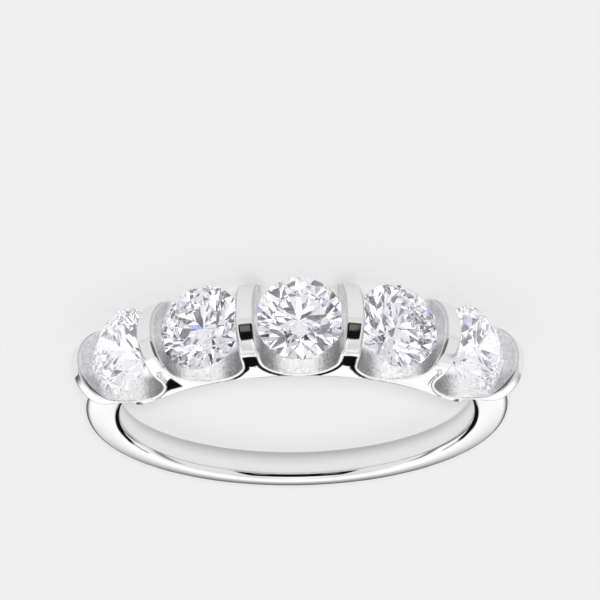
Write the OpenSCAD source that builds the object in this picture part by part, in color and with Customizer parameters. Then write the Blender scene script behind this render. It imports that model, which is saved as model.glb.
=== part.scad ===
// Five stone ring with bar set round brilliants. It lies on its side, so the finger hole
// faces up and the stones face -Y. The origin is the middle of the finger hole.
// All sizes are in millimetres.

/* [Finger hole] */
// Diameter of the finger hole
finger_d = 17.3; // [14:0.1:22]

/* [Shank] */
// Width of the shank along the finger
shank_w = 1.58; // [1.4:0.02:2.6]
// Thickness of the shank opposite the stones
shank_t = 1.42; // [1.1:0.02:1.8]
// Thickness of the shank halfway to the stones
side_t = 1.85; // [1.6:0.05:2.2]
// Radius of the domed outside of the shank, across its width
crown_r = 2.4; // [1.6:0.1:4]
// Radius of the outer edges of the shank
outer_edge_r = 0.28; // [0.1:0.02:0.5]
// Radius of the edges of the shank at the finger hole
inner_edge_r = 0.14; // [0.08:0.01:0.3]

/* [Stones] */
// Diameter of each stone
stone_d = 4.2; // [3.4:0.1:5]
// Width of the table as a share of the diameter
table_share = 0.57; // [0.5:0.01:0.64]
// Slope of the main facets of the crown in degrees
crown_angle = 34.5; // [30:0.5:37]
// Slope of the main facets of the pavilion in degrees
pavilion_angle = 40.8; // [39:0.1:42]
// Height of the girdle
girdle_t = 0.12; // [0.06:0.01:0.2]
// Depth of the groove in each bar that holds a girdle
girdle_bite = 0.2; // [0.14:0.02:0.3]
// Clearance between a stone and the metal of its groove
stone_gap = 0.03; // [0.02:0.01:0.06]
// Clearance below the point of each stone
culet_gap = 0.07; // [0.05:0.01:0.2]

/* [Bars] */
// Thickness of each bar between two stones
bar_w = 1; // [0.8:0.05:1.4]
// Height of the bars above the girdles
bar_h = 1.18; // [0.9:0.02:1.6]
// Height of the solid upper part of the inner bars
bar_solid_h = 1.25; // [1.1:0.05:1.6]
// Radius of the rounded foot of each end bar
end_foot_r = 1.65; // [1.3:0.05:2]

/* [Head] */
// Width of the head along the finger
head_w = 4.2; // [3.6:0.05:5]
// Metal between the finger hole and the lowest point of each cup
cup_floor = 0.46; // [0.4:0.02:0.8]
// Width of the raised rim around each cup
cup_rim = 0.2; // [0.14:0.01:0.26]
// Depth of the side hollows under the inner bars
hollow_depth = 0.45; // [0.2:0.05:0.7]
// Depth of the base's flat sides below the rims of the cups
hollow_foot = 0.16; // [0.08:0.02:0.24]
// Step from the base's flat sides down to the floor of the hollows
hollow_step = 0.04; // [0.02:0.01:0.08]
// Narrowing of each side of the head from its middle to its end bars
head_taper = 0.18; // [0.06:0.02:0.3]
// Length of the middle of the head that does not narrow
head_straight = 2; // [1:0.5:3]
// Depth that the flat sides of the head cut into the domed bars
side_cut = 0.02; // [0.01:0.01:0.1]
// Height over which the base slopes in to the shank at each end
shoulder_h = 1; // [0.6:0.05:1.2]
// Length from the middle of the base's round ends to the end bars
shoulder_lap = 1.05; // [0.6:0.05:1.6]

/* [Hidden] */

// Number of stones, and the turn of each about its own axis in degrees
stone_count = 5;
stone_turns = [7, 16, 3, 12, 20];

// Brilliant cut with eight main facets, the reach of its star facets from the table
// towards the girdle, and that of its lower half facets from the girdle to the point
mains = 8;
star_reach = 0.5;
half_reach = 0.77;

stone_r = stone_d / 2;
main_step = 360 / mains;
main_cos = cos(main_step / 2);
girdle_count = mains * 4;
girdle_step = 360 / girdle_count;
girdle_half = girdle_t / 2;

table_r = stone_r * table_share;
star_r = table_r * main_cos + star_reach * (stone_r - table_r * main_cos);
lower_r = stone_r * (1 - half_reach);
crown_h = (stone_r - table_r) * tan(crown_angle);
star_h = (stone_r - star_r * main_cos) * tan(crown_angle);
pavilion_h = stone_r * tan(pavilion_angle);
lower_h = (stone_r - lower_r * main_cos) * tan(pavilion_angle);

// The girdle's edge dips in the middle of each half facet, as its plane meets the cylinder
function edge_dip(reach_r, rise) =
    stone_r * (1 - cos(girdle_step)) * rise / ((stone_r - reach_r) * cos(girdle_step));

top_dip = edge_dip(star_r, star_h);
bottom_dip = edge_dip(lower_r, lower_h);

finger_r = finger_d / 2;
cup_bottom_r = finger_r + cup_floor;
girdle_r = cup_bottom_r + culet_gap + pavilion_h + girdle_half;
bar_top_r = girdle_r + bar_h;
head_half = head_w / 2;
dome_r = head_half + side_cut;
dome_centre_r = bar_top_r - dome_r;
bar_half = bar_w / 2;

// Angle between two stones, set so that each bar holds the girdles on both its sides
pitch = 2 * asin((stone_r - girdle_bite + bar_half) / girdle_r);
half_sin = sin(pitch / 2);
half_tan = tan(pitch / 2);

// Each cup is a half round channel that runs into the sides of its two bars
cup_centre_r = (cup_bottom_r - bar_half) / (1 - half_sin);
cup_r = cup_centre_r * half_sin - bar_half;
rim_r = cup_r + cup_rim;
cup_side_x = cup_r * cos(pitch / 2);
cup_side_y = cup_centre_r - cup_r * half_sin;

// The hollow under an inner bar ends in a round top between the rims of two cups
arch_r = bar_half - cup_rim;
arch_centre_r = bar_top_r - bar_solid_h - arch_r;
foot_centre_r = girdle_r + arch_r;
end_angle = pitch * stone_count / 2;
end_stone_angle = pitch * (stone_count - 1) / 2;

// The outside of the shank is a circle that is shifted towards the head
shank_half = shank_w / 2;
shank_outer_r = finger_r + side_t;
shank_shift = side_t - shank_t;
crown_centre_r = shank_outer_r - crown_r;
edge_z = shank_half - outer_edge_r;
edge_reach = sqrt(pow(crown_r - outer_edge_r, 2) - pow(edge_z, 2));
edge_centre_r = crown_centre_r + edge_reach;
crown_edge_z = edge_z * crown_r / (crown_r - outer_edge_r);

// The base under the stones has round ends, centred at shoulder_x on both sides
base_foot = head_half - hollow_foot;
hollow_base = base_foot - hollow_step;
hollow_slope = (hollow_depth - hollow_foot - hollow_step) / (arch_centre_r + arch_r - finger_r);
shoulder_x = finger_r * sin(end_angle) - shoulder_lap;

// Lying on its side, the ring rests on the cups of the end stones and on the shank's edge
rest_run = edge_centre_r - shank_shift + cup_centre_r * cos(end_stone_angle) - rim_r;
rest_x = cup_centre_r * sin(end_stone_angle);
rest_taper = head_taper * (rest_x - head_straight / 2) / (finger_r * sin(end_angle) - head_straight / 2);
rest_drop = head_half - rest_taper - edge_z;
rest_span = sqrt(pow(rest_run, 2) + pow(rest_drop, 2));
lie_angle = atan(rest_drop / rest_run) - asin(outer_edge_r / rest_span);

// Reach of cutting shapes past the metal
over = 1;
tall = head_w + 2 * over;
fine = 96;

// Turns its children round the finger hole, with their +Y pointing outwards
module around(angle) {
    rotate([0, 0, 180 + angle])
        children();
}

// Turns the upright ring over, so that it rests on its side
module lie_down() {
    rotate([-lie_angle, 0, 0])
        children();
}

// Angle of stone number i, counted from the +X end
function stone_angle(i) = ((stone_count + 1) / 2 - i) * pitch;

// Flat shape of one cup and the space above it, between its two bars
module cup_outline() {
    rise = bar_top_r - cup_side_y + over;
    translate([0, cup_centre_r])
        circle(r = cup_r, $fn = fine);
    polygon([
        [-cup_side_x, cup_side_y],
        [cup_side_x, cup_side_y],
        [cup_side_x + rise * half_tan, cup_side_y + rise],
        [-cup_side_x - rise * half_tan, cup_side_y + rise]
    ]);
}

// Flat shape of the solid upper part of an inner bar, with the round top of the hollow
module inner_bar_outline() {
    difference() {
        translate([-bar_half, arch_centre_r])
            square([bar_w, bar_top_r - arch_centre_r + over]);
        translate([0, arch_centre_r])
            circle(r = arch_r, $fn = fine);
    }
}

// Flat shape of an end bar, whose foot curves in under its stone on the given side
module end_bar_outline(side) {
    translate([-bar_half, foot_centre_r])
        square([bar_w, bar_top_r - foot_centre_r + over]);
    translate([side * (end_foot_r - bar_half), foot_centre_r])
        circle(r = end_foot_r, $fn = fine);
}

// Flat shape of all that is as wide as the head: the rims of the cups and the bars
module head_outline() {
    for (i = [1:stone_count])
        around(stone_angle(i))
            translate([0, cup_centre_r])
                circle(r = rim_r, $fn = fine);
    for (i = [1:stone_count - 1])
        around(stone_angle(i + 0.5))
            inner_bar_outline();
    for (side = [-1, 1])
        around(side * end_angle)
            end_bar_outline(side);
}

// Ring with flat sides and a half round outside, which gives the bars their domed tops
module dome_ring() {
    rotate_extrude($fn = fine) {
        translate([dome_centre_r, 0])
            circle(r = dome_r, $fn = fine);
        translate([finger_r - over, -dome_r])
            square([dome_centre_r - finger_r + over, 2 * dome_r]);
    }
}

// Sloped metal between the rims, which leaves a hollow under each inner bar
module hollow_floor() {
    rotate([0, 0, -90 - end_stone_angle])
        rotate_extrude(angle = 2 * end_stone_angle, $fn = fine)
            polygon([
                [finger_r - over, -hollow_base - over * hollow_slope],
                [arch_centre_r + arch_r, hollow_depth - head_half],
                [arch_centre_r + arch_r, head_half - hollow_depth],
                [finger_r - over, hollow_base + over * hollow_slope]
            ]);
}

// Shape of the head seen from the stones, with the given step in from its two long sides
module plan(step) {
    mid_x = head_straight / 2;
    mid_z = head_half - step;
    far_x = bar_top_r + over;
    far_z = mid_z - head_taper * (far_x - mid_x) / (finger_r * sin(end_angle) - mid_x);
    rotate([90, 0, 0])
        linear_extrude(height = far_x)
            polygon([
                [-far_x, -far_z],
                [-mid_x, -mid_z],
                [mid_x, -mid_z],
                [far_x, -far_z],
                [far_x, far_z],
                [mid_x, mid_z],
                [-mid_x, mid_z],
                [-far_x, far_z]
            ]);
}

// Base next to the finger hole, which narrows to the width of the shank at both ends
module base() {
    intersection() {
        rotate([0, 0, 180])
            rotate_extrude(angle = 180, $fn = fine)
                polygon([
                    [finger_r - over, -dome_r],
                    [finger_r, -dome_r],
                    [finger_r + shoulder_h, -shank_half],
                    [finger_r + shoulder_h, shank_half],
                    [finger_r, dome_r],
                    [finger_r - over, dome_r]
                ]);
        rotate([90, 0, 0])
            linear_extrude(height = shank_outer_r) {
                translate([-shoulder_x, -dome_r])
                    square([2 * shoulder_x, 2 * dome_r]);
                for (side = [-1, 1])
                    translate([side * shoulder_x, 0])
                        circle(r = base_foot, $fn = fine);
            }
        plan(hollow_foot);
    }
}

// Section of the shank, with a domed outside and rounded outer edges
module shank_section() {
    translate([finger_r - over, -shank_half])
        square([edge_centre_r - finger_r + over, shank_w]);
    for (side = [-1, 1])
        translate([edge_centre_r, side * edge_z])
            circle(r = outer_edge_r, $fn = fine);
    intersection() {
        translate([crown_centre_r, 0])
            circle(r = crown_r, $fn = fine);
        translate([finger_r, -crown_edge_z])
            square([shank_outer_r - finger_r + over, 2 * crown_edge_z]);
    }
}

// Space outside a rounded edge at the finger hole, on the given side
module inner_edge_section(side) {
    difference() {
        translate([finger_r - over, side > 0 ? edge_start() : -edge_start() - over])
            square([over + inner_edge_r, over]);
        translate([finger_r + inner_edge_r, side * edge_start()])
            circle(r = inner_edge_r, $fn = fine);
    }
}

function edge_start() = shank_half - inner_edge_r;

module shank() {
    difference() {
        translate([0, -shank_shift, 0])
            rotate_extrude($fn = fine)
                shank_section();
        rotate_extrude($fn = fine) {
            inner_edge_section(1);
            inner_edge_section(-1);
        }
    }
}

// Space that one stone needs, a little larger than the stone all round
module seat() {
    girdle_top = girdle_half + top_dip + stone_gap;
    rotate_extrude($fn = fine)
        polygon([
            [0, -girdle_half - pavilion_h - stone_gap],
            [lower_r + stone_gap, -girdle_half - lower_h - stone_gap],
            [stone_r + stone_gap, -girdle_half - bottom_dip - stone_gap],
            [stone_r + stone_gap, girdle_top],
            [star_r + stone_gap, girdle_half + star_h + stone_gap],
            [table_r + stone_gap, girdle_half + crown_h + stone_gap],
            [0, girdle_half + crown_h + stone_gap]
        ]);
}

// Puts its children in the place of one stone, with their +Z pointing outwards
module at_stone(i) {
    around(stone_angle(i))
        translate([0, girdle_r, 0])
            rotate([-90, 0, 0])
                children();
}

module band() {
    color("gainsboro")
        difference() {
            union() {
                intersection() {
                    dome_ring();
                    plan(0);
                    linear_extrude(height = tall, center = true)
                        head_outline();
                }
                hollow_floor();
                base();
                shank();
            }
            linear_extrude(height = tall, center = true)
                for (i = [1:stone_count])
                    around(stone_angle(i))
                        cup_outline();
            cylinder(h = tall, r = finger_r, center = true, $fn = fine);
            for (i = [1:stone_count])
                at_stone(i)
                    seat();
        }
}

// Point at the given radius, angle and height
function ring_point(r, angle, z) = [r * cos(angle), r * sin(angle), z];

// Corners of the stone, ring by ring from the table to the point
table_points = [for (i = [0:mains - 1]) ring_point(table_r, i * main_step, girdle_half + crown_h)];
star_points = [
    for (i = [0:mains - 1]) ring_point(star_r, (i + 0.5) * main_step, girdle_half + star_h)
];
top_points = [
    for (j = [0:girdle_count - 1])
        ring_point(stone_r, j * girdle_step, girdle_half - (j % 2) * top_dip)
];
bottom_points = [
    for (j = [0:girdle_count - 1])
        ring_point(stone_r, j * girdle_step, -girdle_half + (j % 2) * bottom_dip)
];
lower_points = [
    for (i = [0:mains - 1]) ring_point(lower_r, (i + 0.5) * main_step, -girdle_half - lower_h)
];
stone_points = concat(
    table_points,
    star_points,
    top_points,
    bottom_points,
    lower_points,
    [[0, 0, -girdle_half - pavilion_h]]
);

// Places of those corners in the list above, where i and j may run past the end of a ring
function table_at(i) = i % mains;
function star_at(i) = mains + (i + mains) % mains;
function top_at(j) = 2 * mains + j % girdle_count;
function bottom_at(j) = 2 * mains + girdle_count + j % girdle_count;
function lower_at(i) = 2 * mains + 2 * girdle_count + (i + mains) % mains;
point_at = 3 * mains + 2 * girdle_count;

// Facets of the stone, each turning clockwise as it is seen from outside
stone_facets = concat(
    [[for (i = [mains - 1:-1:0]) table_at(i)]],
    [for (i = [0:mains - 1]) [table_at(i), table_at(i + 1), star_at(i)]],
    [for (i = [0:mains - 1]) [table_at(i), star_at(i), top_at(4 * i), star_at(i - 1)]],
    [
        for (i = [0:mains - 1], half = [0, 2])
            let (j = 4 * i + half) [star_at(i), top_at(j + 2), top_at(j + 1), top_at(j)]
    ],
    [
        for (j = [0:girdle_count - 1])
            [top_at(j), top_at(j + 1), bottom_at(j + 1), bottom_at(j)]
    ],
    [for (i = [0:mains - 1]) [point_at, lower_at(i - 1), bottom_at(4 * i), lower_at(i)]],
    [
        for (i = [0:mains - 1], half = [0, 2])
            let (j = 4 * i + half) [lower_at(i), bottom_at(j), bottom_at(j + 1), bottom_at(j + 2)]
    ]
);

module stone(i) {
    color("white")
        at_stone(i)
            rotate([0, 0, stone_turns[i - 1]])
                polyhedron(points = stone_points, faces = stone_facets);
}

module stone_1() {
    stone(1);
}

module stone_2() {
    stone(2);
}

module stone_3() {
    stone(3);
}

module stone_4() {
    stone(4);
}

module stone_5() {
    stone(5);
}

lie_down()
        band();
lie_down()
        stone_1();
lie_down()
        stone_2();
lie_down()
        stone_3();
lie_down()
        stone_4();
lie_down()
        stone_5();
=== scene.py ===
# %% [markdown]
# # A bar set band with five round brilliants
#
# The ring is a single casting of white gold: a slim shank, and a wide head on which six
# domed bars stand. Between each two bars a half round channel runs from front to back, and
# a round brilliant hangs in it, held by grooves in the two bars.
#
# The stones come from the CAD model as they are, because a cut stone is flat facets and
# nothing else. The casting is made anew here, because what makes polished metal look real
# is the small rounding on every edge, which bends the reflections. The lesson goes through
# the camera, the casting, its finish, the stones, and then the floor and the light.

# %% Load the frame
import bpy
import numpy as np
from mathutils import Matrix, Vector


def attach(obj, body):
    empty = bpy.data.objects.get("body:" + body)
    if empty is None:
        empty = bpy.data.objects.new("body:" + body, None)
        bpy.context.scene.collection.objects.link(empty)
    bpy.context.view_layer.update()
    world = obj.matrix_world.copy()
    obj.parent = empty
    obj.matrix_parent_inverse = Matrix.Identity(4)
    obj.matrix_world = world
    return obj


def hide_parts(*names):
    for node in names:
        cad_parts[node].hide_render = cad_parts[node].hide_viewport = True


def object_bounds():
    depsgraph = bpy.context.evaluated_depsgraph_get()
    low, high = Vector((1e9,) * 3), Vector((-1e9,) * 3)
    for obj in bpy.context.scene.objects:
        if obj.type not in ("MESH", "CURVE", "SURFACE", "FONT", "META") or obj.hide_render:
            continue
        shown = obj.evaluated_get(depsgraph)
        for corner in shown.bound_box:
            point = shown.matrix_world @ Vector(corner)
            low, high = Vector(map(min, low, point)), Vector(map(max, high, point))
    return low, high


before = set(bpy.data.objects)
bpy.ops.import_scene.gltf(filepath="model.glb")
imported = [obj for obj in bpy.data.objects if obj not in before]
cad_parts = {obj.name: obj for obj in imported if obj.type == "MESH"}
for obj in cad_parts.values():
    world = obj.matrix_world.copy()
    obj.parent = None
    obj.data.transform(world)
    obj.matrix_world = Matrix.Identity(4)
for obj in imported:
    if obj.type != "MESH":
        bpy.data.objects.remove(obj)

cad_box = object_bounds()
scene = bpy.context.scene
print("CAD nodes:", sorted(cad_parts))
print("CAD box:", cad_box)

# %% [markdown]
# ## Sizes
#
# These are the driving sizes of the CAD model, in millimetres, with the same formulas, so
# that the casting fits the stones that come from there. The ring is worked out upright,
# with the finger hole along Z and the stones towards -Y. Every function below takes and
# gives points of the upright ring.

# %% Driving sizes
finger_r = 8.65
stone_r, girdle_half = 2.1, 0.06
crown_slope, pavilion_slope = np.radians(34.5), np.radians(40.8)
bar_half, bar_h, bar_solid_h, girdle_bite = 0.5, 1.18, 1.25, 0.2
cup_floor, culet_gap, rim_w = 0.46, 0.07, 0.2
head_half, head_taper, head_straight = 2.1, 0.18, 2.0
hollow_depth, hollow_foot = 0.45, 0.16
shank_half, side_t, shank_t = 0.79, 1.85, 1.42
crown_r, outer_edge_r = 2.4, 0.28
foot_r, shoulder_lap, shoulder_h = 1.65, 1.05, 1.0
print("finger hole %.1f mm, stones %.1f mm" % (2 * finger_r, 2 * stone_r))

# %% Places that follow from them
cup_bottom = finger_r + cup_floor
girdle_r = cup_bottom + culet_gap + stone_r * np.tan(pavilion_slope) + girdle_half
bar_top = girdle_r + bar_h
pitch = 2 * np.arcsin((stone_r - girdle_bite + bar_half) / girdle_r)
stone_angles = np.arange(-2, 3) * pitch
inner_bar_angles = np.arange(-1.5, 2) * pitch
end_angle = 2.5 * pitch

cup_centre = (cup_bottom - bar_half) / (1 - np.sin(pitch / 2))
cup_r = cup_centre * np.sin(pitch / 2) - bar_half
arch_r = bar_half - rim_w
arch_centre = bar_top - bar_solid_h - arch_r
arch_top = arch_centre + arch_r
foot_centre = girdle_r + arch_r

end_x = finger_r * np.sin(end_angle)
taper_slope = head_taper / (end_x - head_straight / 2)
shoulder_x = end_x - shoulder_lap
shank_shift = side_t - shank_t
crown_centre = finger_r + side_t - crown_r
print("a stone every %.2f degrees, girdles at %.3f mm" % (np.degrees(pitch), girdle_r))

# %% [markdown]
# ## How the ring lies
#
# A ring that is laid down rests on both ends of its head and on the edge of its shank. The
# head is wider than the shank, so the ring leans back by a few degrees. The angle could be
# read from the CAD model, but it follows from the sizes: it is the slope of the line from
# the shank's rounded edge to the rims of the end cups, less what the edge's radius takes
# off. The two end stones reach a few hundredths of a millimetre lower than those rims, and
# the angle leaves that out.

# %% Lean of the ring on the floor
def lie_angle():
    """Arc tangent of the drop over the run between the two rests, less the arc sine of the
    edge's radius over their distance."""
    edge_z = shank_half - outer_edge_r
    edge_centre = crown_centre + np.sqrt((crown_r - outer_edge_r) ** 2 - edge_z ** 2)
    rest_x = cup_centre * np.sin(2 * pitch)
    rim_bottom = cup_centre * np.cos(2 * pitch) - cup_r - rim_w
    run = edge_centre - shank_shift + rim_bottom
    drop = head_half - taper_slope * (rest_x - head_straight / 2) - edge_z
    return np.arctan2(drop, run) - np.arcsin(outer_edge_r / np.hypot(run, drop))


lie = lie_angle()


def laid_over(points):
    """Upright ring to its place on the floor: a turn by -lie about X, then mm to metres."""
    c, s = np.cos(lie), np.sin(lie)
    turn = np.array([[1, 0, 0], [0, c, s], [0, -s, c]])
    return (points @ turn.T) * 0.001


print("the ring leans by %.3f degrees" % np.degrees(lie))

# %% [markdown]
# ## The camera
#
# The photograph is taken from the stones' side, with a long lens, from a little above the
# plane of the ring, and it is shown the other way up: the shank, which is further away,
# comes out at the bottom. Blender's camera looks along its own -Z, so its place and its
# three axes are put into one matrix. The numbers were found by matching the ring's own
# edges in the picture: round girdles, the two edges of the finger hole, and the bars.

# %% Camera at the photograph's angle
camera_place = np.array([5.310, -298.3183, 115.6485])
camera_turn = np.array([-0.015732, 0.000575, 0.009242])
focal_px, photo_px, sensor_mm = 6512.1, 600, 36.0


def turned_about(vector):
    """Rotation about a vector by its length: identity, plus the sine times the vector's
    cross product matrix, plus one minus the cosine times that matrix squared."""
    angle = np.linalg.norm(vector)
    x, y, z = vector / angle
    cross = np.array([[0, -z, y], [z, 0, -x], [-y, x, 0]])
    return np.eye(3) + np.sin(angle) * cross + (1 - np.cos(angle)) * cross @ cross


def photo_camera():
    """Camera whose back axis runs from the ring's centre to its place and whose right axis
    is level and points to -X, both turned a little by camera_turn in the camera's axes."""
    back = camera_place / np.linalg.norm(camera_place)
    right = np.array([-1.0, 0, 0])
    right -= back * (right @ back)
    right /= np.linalg.norm(right)
    axes = turned_about(camera_turn) @ np.stack([right, np.cross(back, right), back])
    matrix = np.eye(4)
    matrix[:3, :3] = (laid_over(axes) * 1000).T
    matrix[:3, 3] = laid_over(camera_place)
    lens = bpy.data.cameras.new("camera")
    lens.sensor_width = sensor_mm
    lens.lens = focal_px / photo_px * sensor_mm
    holder = bpy.data.objects.new("camera", lens)
    scene.collection.objects.link(holder)
    holder.matrix_world = Matrix(matrix.tolist())
    scene.camera = holder
    return holder


camera = photo_camera()
print("camera", [round(v, 4) for v in camera.location], "lens %.0f mm" % camera.data.lens)

# %% [markdown]
# ## The casting as a distance field
#
# A bar that grows out of a rim, beside a hollow, over a channel: no sheet of two
# parameters covers that shape, and cutting meshes out of each other leaves knife edges.
# So the casting is described by one function of space, its distance field: negative in
# the metal, positive in the air, and zero on the surface. Fields are easy to combine. The
# smaller of two is their union and the larger their intersection, and if the corner
# between two is replaced by a quarter circle, the edge comes out rounded, as a polished
# edge is, or filled, as the inside corner of a casting is.

# %% Rounded ways to combine two fields
def rounded_cut(a, b, r):
    """Intersection of two fields, with a quarter circle of radius r along the edge."""
    beyond = np.hypot(np.maximum(a + r, 0), np.maximum(b + r, 0))
    return np.minimum(-r, np.maximum(a, b)) + beyond


def filled_join(a, b, r):
    """Union of two fields, with a fillet of radius r in the corner between them."""
    within = np.hypot(np.maximum(r - a, 0), np.maximum(r - b, 0))
    return np.maximum(r, np.minimum(a, b)) - within


def smooth_step(value, low, high):
    """0 below low, 1 above high, and 3t^2 - 2t^3 between them."""
    t = np.clip((value - low) / (high - low), 0, 1)
    return t * t * (3 - 2 * t)


def past_angle(turn, start, end):
    """0 nearer to the middle of the head than start, and 1 beyond end, on both sides and
    in degrees."""
    return smooth_step(np.abs(turn), np.radians(start), np.radians(end))


corner = rounded_cut(np.array([-0.1, 0.0]), np.array([0.0, -0.1]), 0.1)
print("on the two planes, where a rounding of 0.1 mm begins:", corner)

# %% [markdown]
# ## Widths of the head
#
# Seen from the stones, the head narrows a little towards both ends. Seen along the band,
# every bar is a half round dome on straight flanks, so its edge is a circle of the head's
# half width, placed so that all the bars reach the same height.

# %% Flanks and dome
def half_width(x):
    """Half width of the head: constant in the middle, then a straight taper, with the
    corner between them softened by a hyperbola."""
    soft_corner = 0.2
    past = np.abs(x) - head_straight / 2
    return head_half - taper_slope * 0.5 * (past + np.hypot(past, soft_corner))


def dome_field(x, r, z):
    """Distance to a half circle of radius half_width that ends at bar_top, on flanks."""
    half = half_width(x)
    above = r - (bar_top - half)
    return np.where(above > 0, np.hypot(z, above), np.abs(z)) - half


print("half width in the middle %.3f, at the ends %.3f" % (half_width(0.0), half_width(end_x)))


# %% [markdown]
# ## Channels, rims and bars
#
# All of these are flat shapes seen along the finger hole. A channel is a circle whose
# sides run on, straight and tangent, as the walls of its two bars. A rim is a slightly
# larger circle. The inner bars end in a small arch above the hollow between two rims, and
# the end bars curve in under their stones.

# %% Channels and rims
def along_and_across(x, y, angle):
    """Places of points along and across the direction that leaves the hole at an angle."""
    return x * np.sin(angle) - y * np.cos(angle), x * np.cos(angle) + y * np.sin(angle)


def cup_fields(x, y):
    """Distances to the nearest channel and to the nearest rim. A channel is its circle
    below the point where the straight walls leave it, and those walls above."""
    channel, rim = np.inf, np.inf
    c, s = np.cos(pitch / 2), np.sin(pitch / 2)
    for angle in stone_angles:
        out, side = along_and_across(x, y, angle)
        side = np.abs(side)
        round_part = np.hypot(side, out - cup_centre) - cup_r
        wall = side * c - out * s + bar_half
        straight = side * s + out * c > cup_centre * c
        channel = np.minimum(channel, np.where(straight, wall, round_part))
        rim = np.minimum(rim, round_part - rim_w)
    return channel, rim


floor_y = np.array([-finger_r])
print("metal under the middle channel %.2f mm" % cup_fields(0 * floor_y, floor_y)[0][0])


# %% Bars
def inner_bars_field(x, y):
    """Distance to the inner bars: a slab from its arch outwards. The channels cut its
    sides, so the slab is made wider than the bar."""
    spare = 0.25
    field = np.inf
    for angle in inner_bar_angles:
        out, side = along_and_across(x, y, angle)
        slab = np.maximum(np.abs(side) - bar_half - spare, arch_centre - out)
        arch = arch_r - np.hypot(side, out - arch_centre)
        field = np.minimum(field, np.maximum(slab, arch))
    return field


def end_bars_field(x, y):
    """Distance to the end bars: flat outside, ending in a circle that curves inwards."""
    reach_in = 2.0
    out, side = along_and_across(np.abs(x), y, end_angle)
    curved = np.hypot(side - bar_half + foot_r, out - foot_centre) - foot_r
    outside = np.where(out > foot_centre, side - bar_half, curved)
    return np.maximum(outside, -side - reach_in)


def outline_field(x, y):
    """Flat outline of the rims and bars together, with fillets between them."""
    inner_fillet, end_fillet = 0.12, 0.15
    rims_and_bars = filled_join(cup_fields(x, y)[1], inner_bars_field(x, y), inner_fillet)
    return filled_join(rims_and_bars, end_bars_field(x, y), end_fillet)


print("metal above an arch %.2f mm" % bar_solid_h)


# %% [markdown]
# ## Base, shank and grooves
#
# Under the rims the metal leans back towards the arches, which leaves a blind hollow
# under each inner bar. At its two ends the base rounds in and slopes down to the shank.
# The shank is a bar with a softly domed outside, bent round a centre that lies a little
# nearer to the stones than the finger's, so it is thinnest opposite them.

# %% Floor of the hollows, and base
def hollow_floor_field(x, r, z, turn):
    """Sloped floor of the hollows, which ends under the arches and inside the end rims."""
    slope = (hollow_depth - hollow_foot) / (arch_top - finger_r)
    floor = np.abs(z) - (half_width(x) - hollow_depth + slope * (arch_top - r))
    return np.maximum(np.maximum(floor, r - arch_top), (np.abs(turn) - 2 * pitch) * r)


def base_field(x, y, r, z):
    """Plate with round ends next to the finger hole, cut by a slope down to the shank. Its
    flat sides lie base_drop below the rims."""
    base_drop, plate_edge, slope_edge, upper_y = 0.03, 0.2, 0.15, -2
    foot = head_half - hollow_foot
    ends = np.hypot(np.maximum(np.abs(x) - shoulder_x, 0), z) - foot
    ends = np.where(np.abs(x) < shoulder_x, -foot, ends)
    plate = rounded_cut(ends, np.abs(z) - half_width(x) + base_drop, plate_edge)
    tilt = (head_half - shank_half) / shoulder_h
    slope = (np.abs(z) - head_half + tilt * (r - finger_r)) / np.hypot(1, tilt)
    return np.maximum(rounded_cut(plate, slope, slope_edge), y - upper_y)


print("floor of a hollow at its arch %.2f mm below the flanks" % hollow_depth)


# %% Shank, and seats of the stones
def shank_field(x, y, z):
    """Domed outside and sides that bulge a little, all circles in the shank's section, with
    a rounded edge between them."""
    side_r, side_middle = 7.0, 9.3
    r = np.hypot(x, y + shank_shift)
    crown = np.hypot(r - crown_centre, z) - crown_r
    side = np.hypot(r - side_middle, np.abs(z) - shank_half + side_r) - side_r
    return rounded_cut(crown, side, outer_edge_r)


def seats_field(x, y, z):
    """Distance to the nearest stone's two cones, grown by a gap, which cut the grooves."""
    gap = 0.04
    field = np.inf
    for angle in stone_angles:
        out, side = along_and_across(x, y, angle)
        past = np.hypot(side, z) - stone_r - gap
        up = out - girdle_r
        upper = past * np.sin(crown_slope) + (up - girdle_half - gap) * np.cos(crown_slope)
        lower = past * np.sin(pavilion_slope) - (up + girdle_half + gap) * np.cos(pavilion_slope)
        field = np.minimum(field, np.maximum(past, np.maximum(upper, lower)))
    return field


print("shank %.2f mm thick at the sides and %.2f mm opposite the stones" % (side_t, shank_t))


# %% The whole casting in one field
def casting_field(points):
    """Distance to the casting: rims and bars within the dome, joined to the base and the
    shank with small fillets, less the channels, the finger hole and the grooves. The
    roundings grow where the real ones are softer."""
    x, y, z = points[..., 0], points[..., 1], points[..., 2]
    r = np.hypot(x, y)
    turn = np.arctan2(x, -y)
    on_bars = smooth_step(r, 10.6, 11.4)
    flank_edge = 0.1 + 0.12 * on_bars + 0.15 * past_angle(turn, 54, 62)
    channel_edge = 0.11 + 0.11 * on_bars
    hole_edge = 0.07 + 0.3 * past_angle(turn, 62, 78)
    hollow_fillet, shank_fillet = 0.34, 0.12
    rim_fillet = 0.07 + 0.15 * past_angle(turn, 43, 49)

    head = rounded_cut(outline_field(x, y), dome_field(x, r, z), flank_edge)
    metal = filled_join(head, hollow_floor_field(x, r, z, turn), hollow_fillet)
    shank = filled_join(base_field(x, y, r, z), shank_field(x, y, z), shank_fillet)
    metal = filled_join(metal, shank, rim_fillet)
    metal = rounded_cut(metal, -cup_fields(x, y)[0], channel_edge)
    metal = rounded_cut(metal, finger_r - r, hole_edge)
    return np.maximum(metal, -seats_field(x, y, z))


probe = np.array([[0, -12.4, 0], [0, -9.0, 0], [0, 9.0, 0.0]])
print("field over a channel, in its floor and in the shank:", np.round(casting_field(probe), 3))

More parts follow.
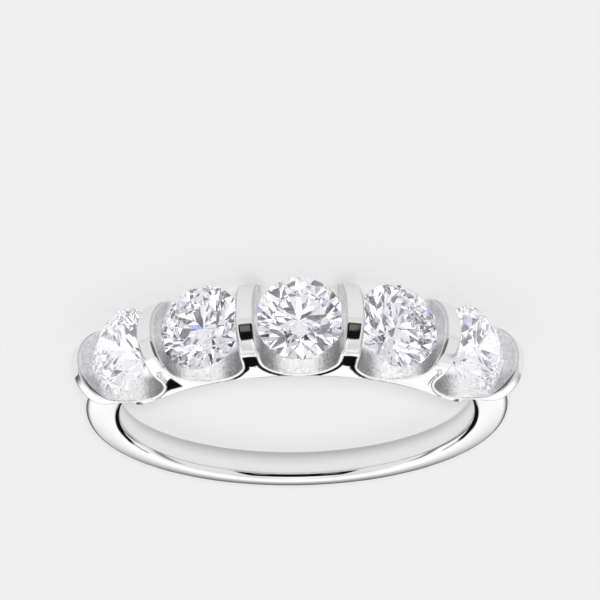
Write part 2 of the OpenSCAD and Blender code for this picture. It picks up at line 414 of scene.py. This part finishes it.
# %% [markdown]
# ## From the field to a mesh
#
# The field is read on a grid that is bent round the ring: its three directions are the
# angle, the radius and the height. It is fine where the edges are, and coarse along the
# shank. Wherever a grid edge goes from metal to air, the surface passes, and the four
# cells round that edge give one quad. Each cell's vertex is put where the tangent planes
# of its crossings meet, by least squares, so flat faces stay flat and grooves stay sharp.
# Last, every vertex is slid along the field's slope until the field is zero. Blender's
# own Remesh modifier works alike, but it can't be fine in one place and coarse in another.

# %% Grid round the ring
def ring_grid():
    """Angles all round, radii, and heights, each in bands of start, end and step that are
    close together where the edges are."""
    head_end, side_end = 73, 88
    turn_bands = ((-head_end, head_end, 0.36), (head_end, side_end, 0.75),
                  (side_end, 360 - side_end, 2.0), (360 - side_end, 360 - head_end, 0.75))
    height_bands = ((0, 0.44, 0.145), (0.5, 0.96, 0.065), (1.02, 1.3, 0.12), (1.36, 2.22, 0.06))
    radius_band = (8.5, 12.39, 0.0685)
    turns = np.radians(np.concatenate([np.arange(*band) for band in turn_bands]))
    radii = np.arange(*radius_band)
    half = np.concatenate([np.arange(*band) for band in height_bands])
    return turns, radii, np.concatenate([-half[:0:-1], half])


def grid_point(turn, r, z):
    """Point of the upright ring at an angle from -Y, a radius and a height."""
    return np.stack([r * np.sin(turn), -r * np.cos(turn), z], -1)


turns, radii, heights = ring_grid()
print("grid of %d angles, %d radii and %d heights" % (len(turns), len(radii), len(heights)))


# %% Slope of a field
def slope_of(field, points, step=1e-3):
    """Gradient by central differences, scaled to length one."""
    grad = np.empty_like(points)
    for axis in range(3):
        shift = np.zeros(3)
        shift[axis] = step
        grad[:, axis] = field(points + shift) - field(points - shift)
    return grad / np.maximum(np.linalg.norm(grad, axis=1, keepdims=True), 1e-9)


def slide_to_zero(field, points, rounds=3, longest=0.03):
    """Newton's steps: a point moves against the slope by the value of the field there, and
    at most by the longest step."""
    for _ in range(rounds):
        value = np.clip(field(points), -longest, longest)
        points = points - value[:, None] * slope_of(field, points)
    return points


print("slope beside the shank:", np.round(slope_of(casting_field, probe[2:] + [0, 0, 1.0]), 3)[0])


# %% Where the grid's edges cross the surface
def crossings(field, values, axis, lines):
    """Points where the grid's edges along one axis cross the surface, by false position
    between their two ends, with each edge's place in the grid and whether it starts in
    metal. The outermost edges are left out, because they have fewer than four cells."""
    first_cell = np.array([0, axis != 1, axis != 2], dtype=int)
    window = (slice(None), slice(first_cell[1], -1), slice(first_cell[2], -1))
    near, far = values[window], np.roll(values, -1, axis)[window]
    index = np.argwhere((near < 0) != (far < 0))
    near, far = near[tuple(index.T)], far[tuple(index.T)]
    in_metal = near < 0
    index = index + first_cell
    low = np.stack([line[index[:, k]] for k, line in enumerate(lines)], 1)
    high = low.copy()
    high[:, axis] = lines[axis][index[:, axis] + 1]
    for _ in range(3):
        middle = low + (high - low) * (near / (near - far))[:, None]
        value = field(grid_point(*middle.T))
        same = (value < 0) == in_metal
        low, near = np.where(same[:, None], middle, low), np.where(same, value, near)
        high, far = np.where(same[:, None], high, middle), np.where(same, far, value)
    place = low + (high - low) * (near / (near - far))[:, None]
    return grid_point(*place.T), index, in_metal


def cells_around(index, in_metal, axis, shape):
    """Numbers of the four cells round each edge, in the order that turns the quad outwards."""
    count, rows, layers = shape
    u, v = [k for k in range(3) if k != axis]
    corners = []
    for du, dv in ((-1, -1), (0, -1), (0, 0), (-1, 0)):
        cell = index.copy()
        cell[:, u] += du
        cell[:, v] += dv
        cell[:, 0] %= count
        corners.append((cell[:, 0] * (rows - 1) + cell[:, 1]) * (layers - 1) + cell[:, 2])
    corners = np.stack(corners, 1)
    flip = in_metal == (axis != 1)
    corners[flip] = corners[flip][:, ::-1]
    return corners


print("cells in the grid:", len(turns) * (len(radii) - 1) * (len(heights) - 1))


# %% Contouring the field
def meet_of_planes(places, normals, quads, count):
    """Least squares for each cell: the point nearest to the tangent planes of its crossings,
    pulled a little to their middle, which keeps it in place on flat faces."""
    pull, longest = 0.08, 0.05
    owner, source = quads.ravel(), np.repeat(np.arange(len(places)), 4)
    share = np.bincount(owner, minlength=count)
    middle = np.stack([np.bincount(owner, places[source, k]) for k in range(3)], 1)
    middle /= share[:, None]
    n = normals[source]
    d = np.einsum("ij,ij->i", n, places[source] - middle[owner])
    matrix, target = np.empty((count, 3, 3)), np.empty((count, 3, 1))
    for i in range(3):
        target[:, i, 0] = np.bincount(owner, n[:, i] * d)
        for j in range(3):
            matrix[:, i, j] = np.bincount(owner, n[:, i] * n[:, j])
    matrix += pull * share[:, None, None] * np.eye(3)
    shift = np.linalg.solve(matrix, target)[..., 0]
    length = np.linalg.norm(shift, axis=1, keepdims=True)
    return middle + shift * np.minimum(1, longest / np.maximum(length, 1e-9))


def contour(field, turns, radii, heights):
    """Dual contouring: one quad for each crossing, one vertex for each cell it touches."""
    batches = 12
    values = np.empty((len(turns), len(radii), len(heights)))
    for part in np.array_split(np.arange(len(turns)), batches):
        turn, r, z = np.meshgrid(turns[part], radii, heights, indexing="ij")
        values[part] = field(grid_point(turn, r, z))
    lines = (np.append(turns, turns[0] + 2 * np.pi), radii, heights)
    places, quads = [], []
    for axis in range(3):
        place, index, in_metal = crossings(field, values, axis, lines)
        places.append(place)
        quads.append(cells_around(index, in_metal, axis, values.shape))
    places, quads = np.concatenate(places), np.concatenate(quads)
    cells, quads = np.unique(quads, return_inverse=True)
    quads = quads.reshape(-1, 4)
    vertices = meet_of_planes(places, slope_of(field, places), quads, len(cells))
    return slide_to_zero(field, vertices), quads


points, quads = contour(casting_field, turns, radii, heights)
off = np.abs(casting_field(points)).max()
print("casting: %d vertices, %d quads, field within %.4f mm" % (len(points), len(quads), off))

# %% [markdown]
# ## Normals from the field
#
# A mirror shows the smallest error in a surface's direction, more than any error in its
# place. The field knows the exact direction everywhere, so each face corner takes its
# normal from it. Beside a sharp groove the corner looks a little way into its own face,
# so both sides of the groove keep their own direction. A Bevel or a subdivision would
# round the edges too, but it would guess the direction from the faces.

# %% The casting's mesh
def corner_normals(field, points, quads):
    """Slope at the vertex, or 0.3 of the way to the face's middle where the two differ by
    more than about 30 degrees."""
    into_face, sharp_cosine = 0.3, 0.87
    at_vertex = slope_of(field, points)[quads]
    centre = points[quads].mean(1, keepdims=True)
    inward = points[quads] * (1 - into_face) + centre * into_face
    in_face = slope_of(field, inward.reshape(-1, 3)).reshape(-1, 4, 3)
    sharp = np.einsum("ijk,ijk->ij", at_vertex, in_face) < sharp_cosine
    return np.where(sharp[..., None], in_face, at_vertex)


def mesh_of(name, points, quads, normals=None):
    """Blender mesh of quads, smooth, with given normals at the face corners."""
    mesh = bpy.data.meshes.new(name)
    mesh.vertices.add(len(points))
    mesh.vertices.foreach_set("co", points.astype(np.float32).ravel())
    mesh.loops.add(quads.size)
    mesh.loops.foreach_set("vertex_index", quads.astype(np.int32).ravel())
    mesh.polygons.add(len(quads))
    mesh.polygons.foreach_set("loop_start", np.arange(0, quads.size, 4, dtype=np.int32))
    mesh.polygons.foreach_set("use_smooth", np.ones(len(quads), dtype=bool))
    mesh.update(calc_edges=True)
    mesh.validate()
    if normals is not None:
        mesh.normals_split_custom_set(normals.tolist())
    holder = bpy.data.objects.new(name, mesh)
    scene.collection.objects.link(holder)
    return holder


turned = corner_normals(casting_field, points, quads).reshape(-1, 3)
casting = mesh_of("casting", laid_over(points), quads, laid_over(turned) * 1000)
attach(casting, "root")
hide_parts("band")
print("casting box:", np.round(laid_over(points).min(0), 5), np.round(laid_over(points).max(0), 5))

# %% [markdown]
# ## Where the metal is polished and where it is satin
#
# The polishing wheel reaches the bars, the rims and the shank, and leaves them mirror
# bright. It doesn't reach the channels behind the stones, which keep the fine grain of
# the casting. The mesh carries that as an attribute, one in a channel and nothing
# elsewhere, worked out from the channel's own field. An image mask could do the same, but
# an attribute needs no unwrapping, and it follows the shape when a size changes.

# %% Attribute for the satin channels
def keep(name, values):
    """Puts one number for each vertex on the casting, for its material to read."""
    layer = casting.data.attributes.new(name, "FLOAT", "POINT")
    layer.data.foreach_set("value", values.astype(np.float32))
    print("mean of %s: %.3f" % (name, values.mean()))


# The vertices' places, turns and distances to a channel, which the next cells read too
x, y, z = points.T
r, turn = np.hypot(x, y), np.arctan2(x, -y)
channel = cup_fields(x, y)[0]
in_channel = 1 - smooth_step(channel, 0.004, 0.03)

# The wheel reaches a little way into a channel from the tops of its bars
reached = 0.3
satin = in_channel * (1 - reached * smooth_step(r, 10.9, 11.4))
keep("satin", satin)

# %% [markdown]
# ## Painted shadow in the hollows
#
# Polished metal looks like metal because of its blacks. The hollows behind the rims are
# narrow and closed, so hardly any light comes out of them again. Path tracing shows only
# part of that, because the tent of this scene is whiter than a real room. So the shadow is
# painted into the metal's colour as an attribute, worked out from the shape and a fixed
# slope of the light: light comes in over the rims from the stones' side, and what lies in
# their shadow is painted black.

# %% Shadow behind the rims
light_slope = 2.6


def below_flanks():
    """1 where the surface lies deeper than the head's flanks, between the finger hole's
    wall and the tops of the arches."""
    deep = smooth_step(half_width(x) - np.abs(z), 0.005, 0.03)
    return deep * smooth_step(r, 8.66, 8.72) * (r < arch_top + 0.1)


def rim_shadow():
    """1 where the flat outline, slid back from the light by light_slope times the depth
    below the flanks, covers the point or passes within a small width of it. The width
    grows where the outline faces away from the light and on the rims' legs beside the two
    inner arches, which get a round shadow of their own."""
    least_w, away_w, leg_w, blur, step, arch_shift = 0.02, 0.17, 0.15, 0.05, 0.01, 0.06
    slid = y - light_slope * np.maximum(half_width(x) - np.abs(z), 0)
    outside = outline_field(x, slid)
    away = (outline_field(x, slid + step) - outline_field(x, slid - step)) / (2 * step)
    inner = 1 - past_angle(turn, 20, 25)
    leg = past_angle(turn, 12.3, 13.0) * inner * smooth_step(r, 9.0, 9.5)
    width = least_w + away_w * np.maximum(away, 0) + leg_w * leg
    crease = 1 - smooth_step(outside, width, width + blur)
    out, side = along_and_across(np.abs(x), slid, 0.5 * pitch)
    off_arch = np.hypot(side - arch_shift, out - arch_centre)
    arch = 1 - smooth_step(off_arch, arch_r + 0.03, arch_r + 0.12)
    return np.maximum(crease, arch) * inner * below_flanks() * smooth_step(channel, 0.1, 0.16)


shadow = rim_shadow()
print("share of vertices in the rims' shadow: %.3f" % (shadow > 0.5).mean())

# %% [markdown]
# ## Dark reflections and outlines
# Three more kinds of dark reflection belong to the look of the real ring, and the tent alone
# doesn't give them: a patch beside one bar, crescents where the wall of the finger hole
# turns into the shank's sides, and thin grey lines along the edges of the bars. They could
# be cards in the scene, but each card would show in many other places too. So they are
# painted into the metal's colour as attributes, and they stay where they belong.

# %% Patch, crescents and lines
def bar_patch():
    """1 on one patch in the hollow beside the bar at 1.5 pitches, within the sides given
    across the bar and the radii given along it."""
    blur, inner_end, outer_end, near_side, far_side = 0.06, 8.84, 9.8, 0.15, 2.0
    out, side = along_and_across(x, y, 1.5 * pitch)
    past_end = smooth_step(out, outer_end, outer_end + blur)
    radial = smooth_step(out, inner_end, inner_end + blur) * (1 - past_end)
    across = smooth_step(side, near_side, near_side + 0.07) * (side < far_side)
    return across * radial * smooth_step(outline_field(x, y), -0.02, 0.02) * below_flanks()


def hole_crescents():
    """1 within about 0.1 mm of the circle 0.17 mm outside the finger hole, on the shank's
    two sides, widest halfway between the stones and the back and vanishing at both ends."""
    past_hole, core, rim, wall_half = 0.17, 0.09, 0.12, 0.4
    wide = past_angle(turn, 66, 84) * (1 - past_angle(turn, 90, 132))
    off_circle = np.abs(r - finger_r - past_hole)
    crescent = 1 - smooth_step(off_circle, core * wide, rim * wide + 0.001)
    return crescent * (np.abs(z) > wall_half)


def channel_lines():
    """1 along the rounded edges where the channels meet the tops of the bars, where a dark line is
    painted.
    """
    on_edge = 0.08
    return (1 - smooth_step(np.abs(channel - on_edge), 0.02, 0.07)) * smooth_step(r, 11.0, 11.4)


def end_lines():
    """1 along the outer edges of the two end bars, above their feet, where a dark line is painted."""
    inside_edge = 0.05
    out, side = along_and_across(np.abs(x), y, end_angle)
    line = 1 - smooth_step(np.abs(side - bar_half + inside_edge), 0.03, 0.08)
    return line * smooth_step(out, 10.4, 10.9) * (np.abs(turn) > end_angle)


# Painted dark reflections: grey lines along the bars' edges, with the crescents and the patch
channel_grey, end_grey = 0.12, 0.3
lines = np.maximum(channel_grey * channel_lines(), end_grey * end_lines())
painted_reflections = np.maximum(np.maximum(lines, hole_crescents()), bar_patch())
# Painted shadow and painted dark reflections go into one attribute, which the metal's colour turns
# black
keep("painted_shadow_and_reflection", np.clip(np.maximum(shadow, painted_reflections), 0, 1))

# %% [markdown]
# ## Painted shade and glow
#
# The channels' sides only get light at a low angle, so they are painted a tone darker
# than their floors, and so are the finger hole's wall towards the floor and a line along
# the edges of the bars' tops. The channels' floors are bright for another reason: the
# stones above them gather light like lenses and throw it down. Path tracing finds such
# paths only by luck and shows them as noise, so a painted glow of the metal stands for
# them there, which is even and free of noise.

# %% Shade and glow
def towards_light():
    """How squarely the nearest channel's wall faces +Y: the cosine between +Y and the way
    from the channel's middle to the wall."""
    nearest, cosine = np.full(len(x), np.inf), np.zeros(len(x))
    for angle in stone_angles:
        across = x - cup_centre * np.sin(angle)
        back = y + cup_centre * np.cos(angle)
        reach = np.hypot(across, back)
        cosine = np.where(reach < nearest, back / np.maximum(reach, 0.1), cosine)
        nearest = np.minimum(nearest, reach)
    return cosine


facing = towards_light()
side_shade, wall_shade, line_shade = 0.66, 0.45, 0.4
# Painted shade on the channels' sides, on the finger hole's wall towards the floor and along the
# bars' edges
sides = side_shade * satin * (1 - smooth_step(facing, 0.35, 0.95))
wall = (1 - smooth_step(r, 8.75, 9.0)) * past_angle(turn, 66, 80)
lower_wall = wall_shade * wall * (1 - smooth_step(z, -0.75, 0.1))
keep("shade", np.maximum(np.maximum(sides, lower_wall), line_shade * channel_lines()))

# Painted light: a glow on the channels' floors under the stones
below_stones = (1 - smooth_step(z, 0.5, 1.0)) * (1 - 0.6 * smooth_step(r, 10.2, 11.2))
lowest_line = smooth_step(facing, 0.7, 0.98) * (0.95 - 0.1 * past_angle(turn, 34, 40))
keep("under", in_channel * np.maximum(below_stones, lowest_line))

# %% [markdown]
# ## Node helpers
#
# A material is a graph of small nodes. Written out one by one they hide what they do, so
# a few helpers make the nodes that come up again and again: sums, blends and masks.

# %% Helpers for nodes
def link(tree, source, target):
    """Line from a node's output to another node's input."""
    tree.links.new(source, target)


def maths(tree, operation, first, second=None, third=None):
    """One Math node, whose inputs are sockets or plain numbers."""
    node = tree.nodes.new("ShaderNodeMath")
    node.operation = operation
    for slot, value in enumerate((first, second, third)):
        if isinstance(value, (int, float)):
            node.inputs[slot].default_value = value
        elif value is not None:
            link(tree, value, node.inputs[slot])
    return node.outputs[0]


def mixed(tree, factor, first, second, kind="RGBA"):
    """First times one minus the factor, plus second times the factor. Each of the two is a
    socket, a colour or a grey value."""
    node = tree.nodes.new("ShaderNodeMix")
    node.data_type = kind
    link(tree, factor, node.inputs["Factor"])
    for label, value in (("A", first), ("B", second)):
        if isinstance(value, tuple):
            node.inputs[label].default_value = (*value, 1)
        elif isinstance(value, float):
            node.inputs[label].default_value = (value, value, value, 1)
        else:
            link(tree, value, node.inputs[label])
    return node.outputs["Result"]


def grey(tree, value):
    """Colour whose three channels are the same value."""
    node = tree.nodes.new("ShaderNodeCombineColor")
    for part in ("Red", "Green", "Blue"):
        link(tree, value, node.inputs[part])
    return node.outputs["Color"]


def mask(tree, name):
    """Value of one of the casting's attributes."""
    node = tree.nodes.new("ShaderNodeAttribute")
    node.attribute_name = name
    return node.outputs["Fac"]


print("helpers:", ", ".join(f.__name__ for f in (link, maths, mixed, grey, mask)))

# %% [markdown]
# ## Grain of the casting
#
# Cast metal is never quite even. Up close it shows a fine grain, and over a wider range
# its smoothness drifts. Both are noise on the object's own coordinates, which need no
# unwrapping, at two scales. They are kept in a group, because the colour, the roughness,
# the glow and the bump all use the same grain.

# %% Grain group
def casting_grain():
    """Node group with two noises: a fine one and a broad one, each 1 m divided by its
    scale in size."""
    group = bpy.data.node_groups.new("casting_grain", "ShaderNodeTree")
    start, end = group.nodes.new("NodeGroupInput"), group.nodes.new("NodeGroupOutput")
    place = group.nodes.new("ShaderNodeTexCoord")
    for scale_name, scale, output in (("Fine", 9000.0, "Grain"), ("Broad", 1500.0, "Cloud")):
        socket = group.interface.new_socket(scale_name, in_out="INPUT", socket_type="NodeSocketFloat")
        socket.default_value = scale
        group.interface.new_socket(output, in_out="OUTPUT", socket_type="NodeSocketFloat")
        node = group.nodes.new("ShaderNodeTexNoise")
        node.inputs["Detail"].default_value = 4.0
        link(group, place.outputs["Object"], node.inputs["Vector"])
        link(group, start.outputs[scale_name], node.inputs["Scale"])
        link(group, node.outputs["Fac"], end.inputs[output])
    return group


grain = casting_grain()
print("grain group:", [s.name for s in grain.interface.items_tree])

# %% [markdown]
# ## White gold
#
# The metal is one material from mirror to satin, because the real ring is one piece: the
# satin mask moves its roughness and its tone. Its colour also carries painted shade and
# the black of painted shadow and dark reflections, and its glow is painted light. Where
# the colour is black the metallic share goes down with it, because even a black metal
# mirrors what is seen at a glance, while a black paint without gloss stays black.

# %% White gold, polished and satin
# The second tone is painted shade and the third the black of painted shadow and painted dark
# reflections
polish_tone, shade_tone, painted_dark_tone = 0.94, 0.12, 0.004
polish_rough, polish_drift, satin_rough, satin_drift = 0.035, 0.03, 0.36, 0.2
satin_dark, satin_contrast, glow_least, glow_contrast = 0.1, 1.1, 0.4, 0.6
bump_m, bump_strength, glow_strength = 0.00001, 0.6, 0.75


def white_gold():
    """Metal whose roughness and colour go from polish to satin, then to the painted shade
    tone, then to the black of painted shadow and reflections, each by its own attribute. A
    noise times a drift or a contrast is added to the least value of each. The glow is
    painted light."""
    material = bpy.data.materials.new("white_gold")
    material.use_nodes = True
    tree = material.node_tree
    shader = tree.nodes["Principled BSDF"]
    texture = tree.nodes.new("ShaderNodeGroup")
    texture.node_tree = grain
    texture.inputs["Fine"].default_value = 9000.0
    texture.inputs["Broad"].default_value = 1600.0
    fine, cloud = texture.outputs["Grain"], texture.outputs["Cloud"]
    satin_mask, painted_shadow_and_reflection = mask(tree, "satin"), mask(tree, "painted_shadow_and_reflection")

    polished = maths(tree, "MULTIPLY_ADD", cloud, polish_drift, polish_rough)
    rough = maths(tree, "MULTIPLY_ADD", cloud, satin_drift, satin_rough)
    roughness = mixed(tree, satin_mask, polished, rough, kind="FLOAT")
    link(tree, roughness, shader.inputs["Roughness"])

    mottled = grey(tree, maths(tree, "MULTIPLY_ADD", fine, satin_contrast, satin_dark))
    colour = mixed(tree, satin_mask, polish_tone, mottled)
    # Painted shade, then the black of painted shadow and painted dark reflections
    colour = mixed(tree, mask(tree, "shade"), colour, shade_tone)
    colour = mixed(tree, painted_shadow_and_reflection, colour, painted_dark_tone)
    link(tree, colour, shader.inputs["Base Color"])
    link(tree, maths(tree, "SUBTRACT", 1.0, painted_shadow_and_reflection), shader.inputs["Metallic"])
    shader.inputs["Specular IOR Level"].default_value = 0.0

    # Painted light: a glow on the channels' floors under the stones
    uneven = maths(tree, "MULTIPLY_ADD", fine, glow_contrast, glow_least)
    glow = grey(tree, maths(tree, "MULTIPLY", mask(tree, "under"), uneven))
    link(tree, glow, shader.inputs["Emission Color"])
    shader.inputs["Emission Strength"].default_value = glow_strength

    bump = tree.nodes.new("ShaderNodeBump")
    bump.inputs["Distance"].default_value = bump_m
    link(tree, maths(tree, "MULTIPLY", satin_mask, bump_strength), bump.inputs["Strength"])
    link(tree, fine, bump.inputs["Height"])
    link(tree, bump.outputs["Normal"], shader.inputs["Normal"])
    return material


casting.data.materials.append(white_gold())
print("white gold on", casting.name)

# %% [markdown]
# ## The stones
#
# A diamond has no colour of its own. What we see is light that enters by the crown,
# bounces off the pavilion and comes back, so all it needs is flat facets and the right
# index of refraction, 2.42. The CAD solids have both a true pavilion and true facets, so
# they only get the material. Their faces stay flat shaded, because a facet is flat. The
# two end stones are seen at a slant and look nearly white on the real ring, so they get a
# trace of glow.

# %% Diamond
def diamond(name, glow):
    """Clear glass with the index of diamond and a very slight cool tint. The glow adds up
    along a path inside the stone, so a few hundredths are plenty."""
    material = bpy.data.materials.new(name)
    material.use_nodes = True
    shader = material.node_tree.nodes["Principled BSDF"]
    shader.inputs["Base Color"].default_value = (0.985, 0.985, 1.0, 1)
    shader.inputs["Roughness"].default_value = 0.0
    shader.inputs["IOR"].default_value = 2.417
    shader.inputs["Transmission Weight"].default_value = 1.0
    shader.inputs["Metallic"].default_value = 0.0
    shader.inputs["Emission Color"].default_value = (0.97, 0.97, 1.0, 1)
    shader.inputs["Emission Strength"].default_value = glow
    return material


inner_stone, end_stone = diamond("diamond", 0.0), diamond("diamond_end", 0.02)
for name in sorted(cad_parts):
    if name.startswith("stone_"):
        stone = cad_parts[name]
        stone.data.materials.clear()
        stone.data.materials.append(end_stone if name in ("stone_1", "stone_5") else inner_stone)
        print(name, "has", len(stone.data.polygons), "triangles")

# %% [markdown]
# ## The floor
#
# The ring lies on a matt pale sheet. Much of the sheet's tone is a glow of its own, so that
# it stays even over the whole picture, as on a lit table. Seen directly it is a little
# brighter than in reflections, which keeps the ring's lower sides from washing out.

# %% Floor
def floor_sheet(height, reach):
    """Flat square at a height, from -reach to reach in x and y."""
    side = np.linspace(-reach, reach, 2)
    x, y = np.meshgrid(side, side, indexing="xy")
    corners = np.stack([x.ravel(), y.ravel(), np.full(4, height)], 1)
    return mesh_of("floor", corners, np.array([[0, 1, 3, 2]]))


def pale_sheet():
    """Matt grey whose glow is chosen by whether the camera sees it directly."""
    mirrored_glow, direct_glow = 0.45, 0.485
    material = bpy.data.materials.new("pale_floor")
    material.use_nodes = True
    tree = material.node_tree
    shader = tree.nodes["Principled BSDF"]
    shader.inputs["Base Color"].default_value = (0.26, 0.26, 0.26, 1)
    shader.inputs["Roughness"].default_value = 0.9
    shader.inputs["Specular IOR Level"].default_value = 0.0
    shader.inputs["Emission Strength"].default_value = 1.0
    path = tree.nodes.new("ShaderNodeLightPath")
    glow = mixed(tree, path.outputs["Is Camera Ray"], mirrored_glow, direct_glow)
    link(tree, glow, shader.inputs["Emission Color"])
    return material


floor_height = min(cad_box[0][2], laid_over(points)[:, 2].min())
floor = floor_sheet(floor_height, reach=3.0)
floor.data.materials.append(pale_sheet())
print("floor at %.5f m" % floor_height)

# %% [markdown]
# ## A white tent
#
# Polished metal shows what stands around it more than its own colour. The photograph looks
# like one taken in a white tent with a dark opening on the camera's side, whose reflection
# is the black patch on the bars. Lamps and cards could stand in the scene for that, but the
# world's shader draws the whole tent with a few soft edges: its colour is a function of
# the direction, given as azimuth from -Y and elevation in radians.

# %% Cloth of the tent
roof_start, roof_full = 0.85, 1.2


def ramp(tree, value, low, high):
    """0 below low and 1 above high, 3t^2 - 2t^3 between them."""
    node = tree.nodes.new("ShaderNodeMapRange")
    node.interpolation_type = "SMOOTHSTEP"
    node.inputs["From Min"].default_value = low
    node.inputs["From Max"].default_value = high
    link(tree, value, node.inputs["Value"])
    return node.outputs["Result"]


def soft_window(tree, value, low, high, edge):
    """1 between low and high, falling to 0 over edge on both sides."""
    rising = ramp(tree, value, low - edge, low + edge)
    falling = ramp(tree, value, high + edge, high - edge)
    return maths(tree, "MULTIPLY", rising, falling)


def tent_cloth(tree, azimuth, turned_by, elevation):
    """Pale cloth on the stones' side and a brighter one behind, which is dark near the
    floor, with a white roof that is greyer to the left and right."""
    near_low, near_high, far_low, far_high = 0.72, 0.8, 0.14, 1.06
    roof_tone, roof_side_tone = 1.02, 0.72
    far = mixed(tree, ramp(tree, elevation, 0.07, 0.33), far_low, far_high)
    near = mixed(tree, ramp(tree, elevation, 0.0, 0.2), near_low, near_high)
    left, right = ramp(tree, azimuth, 1.5, 1.8), ramp(tree, azimuth, -2.0, -2.3)
    wall = mixed(tree, maths(tree, "MAXIMUM", left, right), near, far)
    to_side = soft_window(tree, turned_by, 0.7, 1.8, 0.3)
    roof = mixed(tree, to_side, roof_tone, roof_side_tone)
    return mixed(tree, ramp(tree, elevation, roof_start, roof_full), wall, roof)


print("the roof of the tent starts at %.0f degrees" % np.degrees(roof_start))

# %% [markdown]
# ## Dark cards, and the sparkle of the stones
#
# Three kinds of darker areas hang in the tent: a grey stripe on each side, which draws the
# shank's edges, the black opening, and a lighter pair of patches inside it. A brilliant is
# different again. It mirrors the whole room in hundreds of small pieces, and in a plain
# white tent it would look like milk glass. So its rays, and only they, meet a pattern of
# pale, dark and a few blue cells: rays that have passed a stone are known by their
# transmission depth.

# %% Tent with its cards
def with_cards(tree, cloth, azimuth, turned_by, elevation):
    """The cloth, with each card laid over it by a window in azimuth times one in elevation."""
    stripe_tone, opening_tone, lighter_tone = 0.25, 0.006, 0.16
    stripe = maths(tree, "MULTIPLY", soft_window(tree, turned_by, 1.62, 1.85, 0.08),
                   soft_window(tree, elevation, 0.0, 0.7, 0.1))
    opening = maths(tree, "MULTIPLY", soft_window(tree, azimuth, -0.72, 0.72, 0.05),
                    soft_window(tree, elevation, 0.24, 0.98, 0.04))
    lighter = maths(tree, "MULTIPLY", soft_window(tree, turned_by, 0.33, 0.52, 0.04),
                    soft_window(tree, elevation, 0.31, 0.58, 0.06))
    cloth = mixed(tree, stripe, cloth, stripe_tone)
    cloth = mixed(tree, opening, cloth, opening_tone)
    return mixed(tree, lighter, cloth, lighter_tone)


def sparkle(tree, direction):
    """Cells of random tone: from grey to a bright white by one random number of the cell,
    blue where a second is high, and dark where a third is."""
    grey_tone, bright_tone, blue_tone = (0.28, 0.28, 0.36), (2.3, 2.3, 2.52), (0.22, 0.3, 1.0)
    dark_tone = 0.015
    blue_from, blue_full, dark_from, dark_full = 0.93, 0.935, 0.6, 0.61
    cells = tree.nodes.new("ShaderNodeTexVoronoi")
    cells.inputs["Scale"].default_value = 8.0
    link(tree, direction, cells.inputs["Vector"])
    pick = tree.nodes.new("ShaderNodeSeparateColor")
    link(tree, cells.outputs["Color"], pick.inputs["Color"])
    is_blue = ramp(tree, pick.outputs["Red"], blue_from, blue_full)
    is_dark = ramp(tree, pick.outputs["Green"], dark_from, dark_full)
    pale = mixed(tree, pick.outputs["Blue"], grey_tone, bright_tone)
    return mixed(tree, is_dark, mixed(tree, is_blue, pale, blue_tone), dark_tone)


def white_tent():
    """World that gives most of the sparkle and a little of the tent to rays that have
    passed a stone, and only the tent to all others."""
    sparkle_share = 0.93
    world = bpy.data.worlds.new("tent")
    scene.world = world
    world.use_nodes = True
    tree = world.node_tree
    where = tree.nodes.new("ShaderNodeTexCoord")
    split = tree.nodes.new("ShaderNodeSeparateXYZ")
    link(tree, where.outputs["Generated"], split.inputs["Vector"])
    from_front = maths(tree, "MULTIPLY", split.outputs["Y"], -1.0)
    azimuth = maths(tree, "ARCTAN2", split.outputs["X"], from_front)
    turned_by = maths(tree, "ABSOLUTE", azimuth)
    elevation = maths(tree, "ARCSINE", split.outputs["Z"])
    cloth = tent_cloth(tree, azimuth, turned_by, elevation)
    tent = with_cards(tree, cloth, azimuth, turned_by, elevation)
    path = tree.nodes.new("ShaderNodeLightPath")
    through_stone = maths(tree, "MINIMUM", path.outputs["Transmission Depth"], 1.0)
    share = maths(tree, "MULTIPLY", through_stone, sparkle_share)
    colour = mixed(tree, share, tent, sparkle(tree, where.outputs["Generated"]))
    link(tree, colour, tree.nodes["Background"].inputs["Color"])
    return world


tent = white_tent()
print(tent.name, "has", len(tent.node_tree.nodes), "nodes")

# %% [markdown]
# ## A lamp for the floor, and enough bounces
#
# One broad sun from the camera's side lights the floor and gives the ring its faint
# shadow. It is kept out of reflections, because it would put a white dot on each bar.
# Inside a brilliant, much of the light bounces more than four times before it comes out.
# Cycles stops at four glossy bounces, which turns those facets flat grey, so its limits
# are raised.

# %% Lamp, bounces and view
def front_lamp(elevation, strength, width):
    """Sun in the direction of -Y at an elevation, width radians across."""
    lamp = bpy.data.lights.new("front_lamp", "SUN")
    lamp.energy = strength
    lamp.angle = width
    holder = bpy.data.objects.new("front_lamp", lamp)
    scene.collection.objects.link(holder)
    holder.rotation_euler = (np.pi / 2 - elevation, 0, 0)
    holder.visible_glossy = False
    return holder


lamp = front_lamp(elevation=np.radians(24.5), strength=5.5, width=0.1)
scene.cycles.max_bounces = 24
scene.cycles.glossy_bounces = 20
scene.cycles.transmission_bounces = 20
scene.view_settings.view_transform = "Standard"
print("lamp of strength %.1f, %d bounces" % (lamp.data.energy, scene.cycles.max_bounces))
